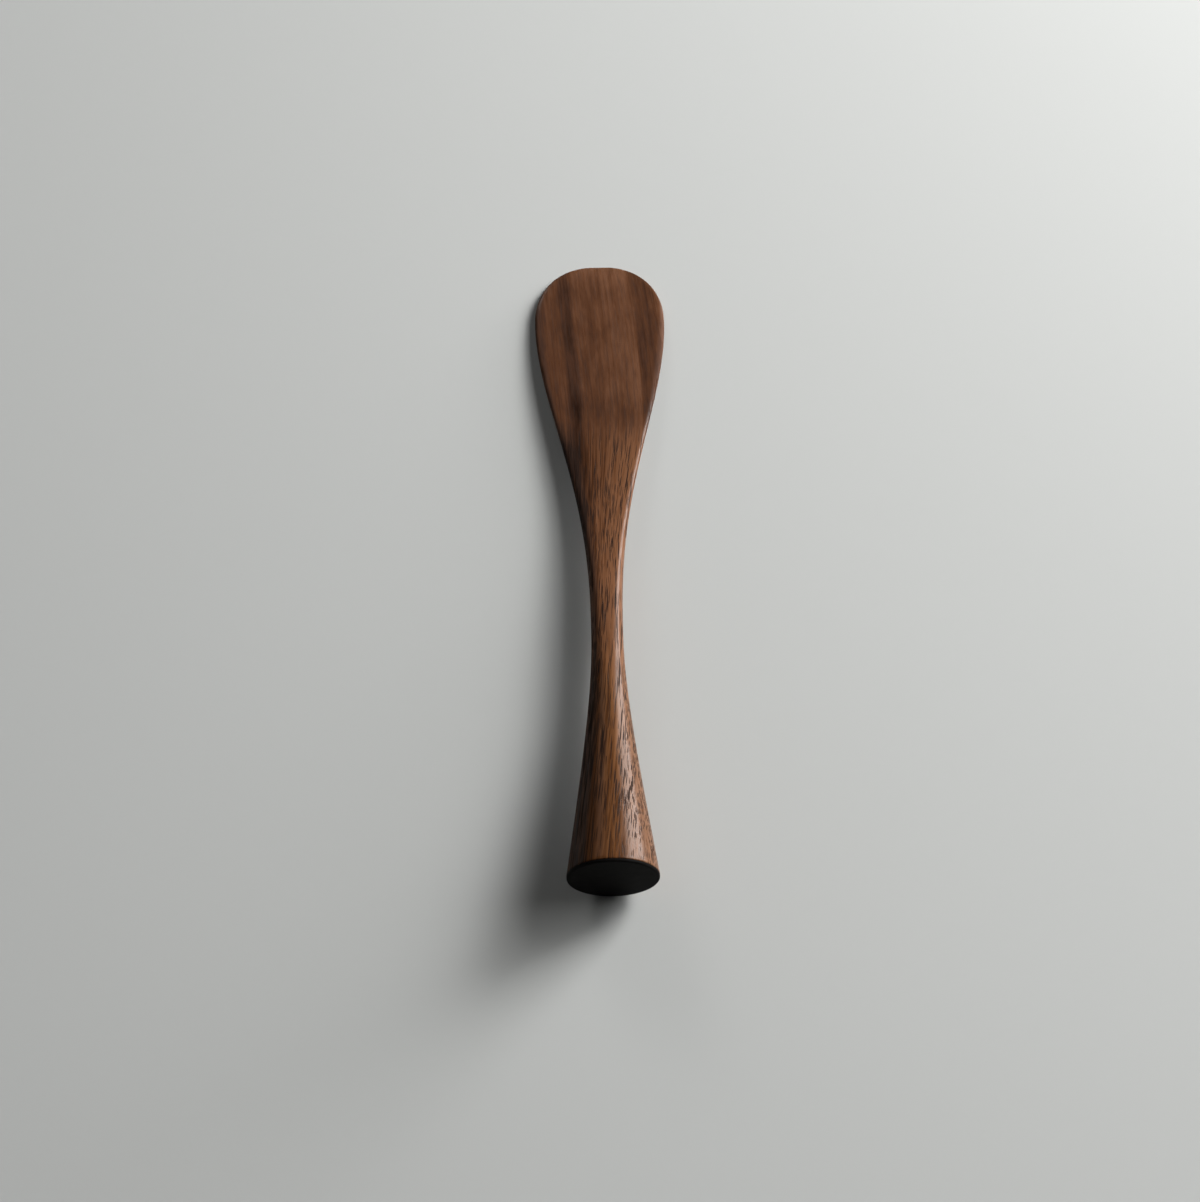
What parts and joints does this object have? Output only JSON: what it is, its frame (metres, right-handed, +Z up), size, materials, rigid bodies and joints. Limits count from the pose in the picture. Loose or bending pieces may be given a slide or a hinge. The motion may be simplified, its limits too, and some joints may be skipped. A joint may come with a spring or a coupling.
{
  "type": "spreader",
  "caption": "Wooden table spreader with a flat rounded paddle blade, a slim waist and a round handle that flares to a flat black end on which it can stand.",
  "frame": {"origin": "on the surface that the spreader lies on, under the middle of its length and width", "axes": "+Y from the butt to the tip of the blade, +Z up, +X to the right when seen from the butt"},
  "size_m": [0.032, 0.1652, 0.0186],
  "materials": {
    "walnut": "oiled walnut, satin, open pores along the length",
    "blackwood": "black hardwood, sanded flat, dull"
  },
  "bodies": {
    "root": {"walnut_body": "walnut", "end_plug": "blackwood"}
  },
  "joints": []
}
